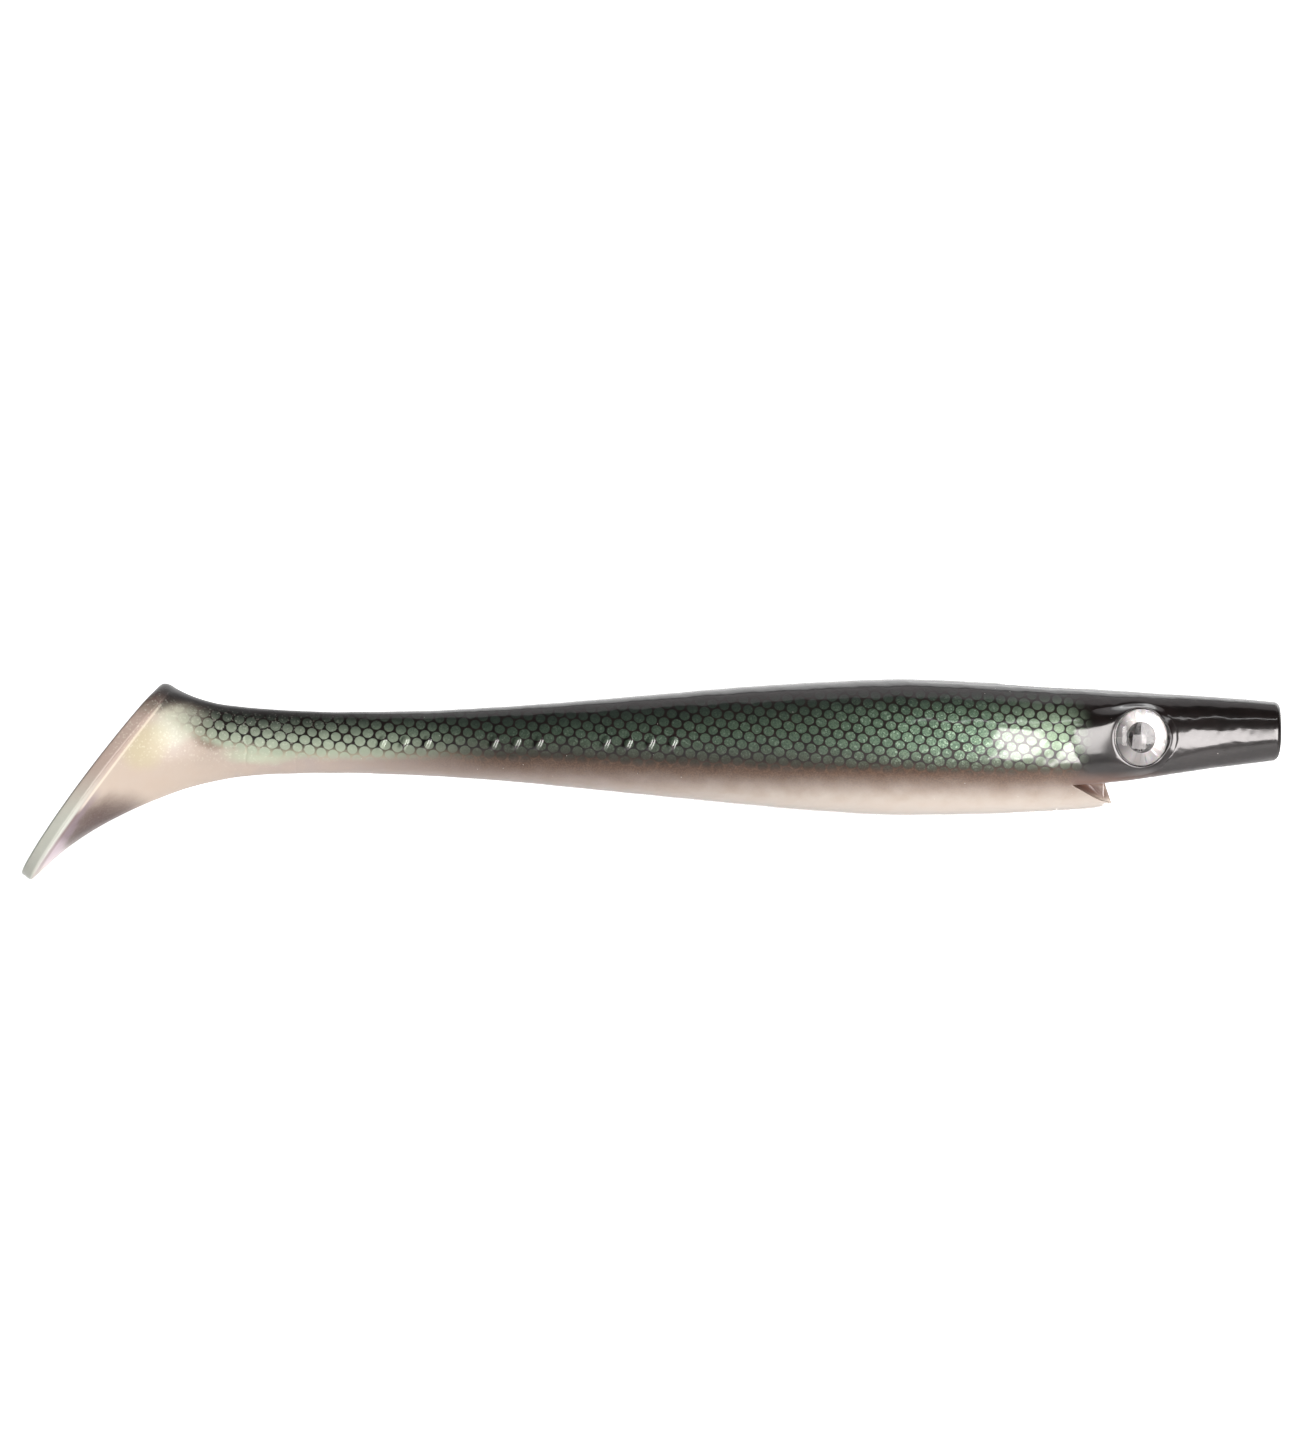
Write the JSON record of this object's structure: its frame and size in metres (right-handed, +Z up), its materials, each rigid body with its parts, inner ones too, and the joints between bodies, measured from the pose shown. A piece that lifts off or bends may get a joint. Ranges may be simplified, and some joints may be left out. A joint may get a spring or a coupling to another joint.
{
  "type": "swimbait",
  "caption": "Slim soft-plastic swimbait with a dark back, pearl belly, domed eyes and an angled paddle tail; sprung bends along the body and tail stand for its flex.",
  "frame": {"origin": "centre of the flat face at the tip of the nose", "axes": "+X forward out of the nose, +Y to the bait's left, +Z up through the back"},
  "size_m": [0.2002, 0.0246, 0.0319],
  "materials": {
    "back_plastisol": "glossy soft plastic, near-black with a green scale net and fine metallic flake",
    "belly_plastisol": "glossy soft plastic, off-white pearl with a pinkish sheen",
    "eye_adhesive": "thin white adhesive pad",
    "eye_foil": "silver holographic foil with radial facets",
    "eye_pupil": "glossy black print",
    "eye_lens": "clear domed resin"
  },
  "bodies": {
    "front_body": {"head": "back_plastisol", "front_back": "back_plastisol", "front_belly": "belly_plastisol", "right_eye_adhesive": "eye_adhesive", "right_eye_foil": "eye_foil", "right_eye_pupil": "eye_pupil", "right_eye_lens": "eye_lens", "left_eye_adhesive": "eye_adhesive", "left_eye_foil": "eye_foil", "left_eye_pupil": "eye_pupil", "left_eye_lens": "eye_lens"},
    "middle_body": {"middle_bend_back": "back_plastisol", "middle_bend_belly": "belly_plastisol", "middle_back": "back_plastisol", "middle_belly": "belly_plastisol"},
    "rear_body": {"rear_bend_back": "back_plastisol", "rear_bend_belly": "belly_plastisol", "rear_back": "back_plastisol", "rear_belly": "belly_plastisol"},
    "tail_root_body": {"tail_root_bend_back": "back_plastisol", "tail_root_bend_belly": "belly_plastisol", "tail_root_back": "back_plastisol", "tail_root_belly": "belly_plastisol"},
    "stalk_body": {"stalk_bend_back": "back_plastisol", "stalk_bend_belly": "belly_plastisol", "stalk_back": "back_plastisol", "stalk_belly": "belly_plastisol"},
    "wrist_body": {"wrist_bend_back": "back_plastisol", "wrist_bend_belly": "belly_plastisol", "wrist_back": "back_plastisol", "wrist_belly": "belly_plastisol"},
    "paddle_body": {"paddle_bend_back": "back_plastisol", "paddle_bend_belly": "belly_plastisol", "paddle_back": "back_plastisol", "paddle_belly": "belly_plastisol"}
  },
  "joints": [
    {"name": "middle_swing", "type": "hinge", "parent": "front_body", "child": "middle_body", "pos_m": [-0.066, 0, 0], "axis": [0, 0, 1], "range_deg": [-15, 15], "stiffness_Nm_per_rad": 0.085, "deforming": ["middle_bend_back", "middle_bend_belly"]},
    {"name": "rear_swing", "type": "hinge", "parent": "middle_body", "child": "rear_body", "pos_m": [-0.09, 0, 0], "axis": [0, 0, 1], "range_deg": [-20, 20], "stiffness_Nm_per_rad": 0.046, "deforming": ["rear_bend_back", "rear_bend_belly"]},
    {"name": "tail_root_lift", "type": "hinge", "parent": "rear_body", "child": "tail_root_body", "pos_m": [-0.111, 0, -0.0021], "axis": [0, 1, 0], "range_deg": [-15, 15], "stiffness_Nm_per_rad": 0.15, "deforming": ["tail_root_bend_back", "tail_root_bend_belly"]},
    {"name": "stalk_swing", "type": "hinge", "parent": "tail_root_body", "child": "stalk_body", "pos_m": [-0.13, 0, 0], "axis": [0, 0, 1], "range_deg": [-25, 25], "stiffness_Nm_per_rad": 0.006, "deforming": ["stalk_bend_back", "stalk_bend_belly"]},
    {"name": "wrist_swing", "type": "hinge", "parent": "stalk_body", "child": "wrist_body", "pos_m": [-0.149, 0, 0], "axis": [0, 0, 1], "range_deg": [-35, 35], "stiffness_Nm_per_rad": 0.003, "deforming": ["wrist_bend_back", "wrist_bend_belly"]},
    {"name": "paddle_twist", "type": "hinge", "parent": "wrist_body", "child": "paddle_body", "pos_m": [-0.1632, 0, -0.0017], "axis": [1, 0, 0], "range_deg": [-25, 25], "stiffness_Nm_per_rad": 0.004, "deforming": ["paddle_bend_back", "paddle_bend_belly"]}
  ]
}
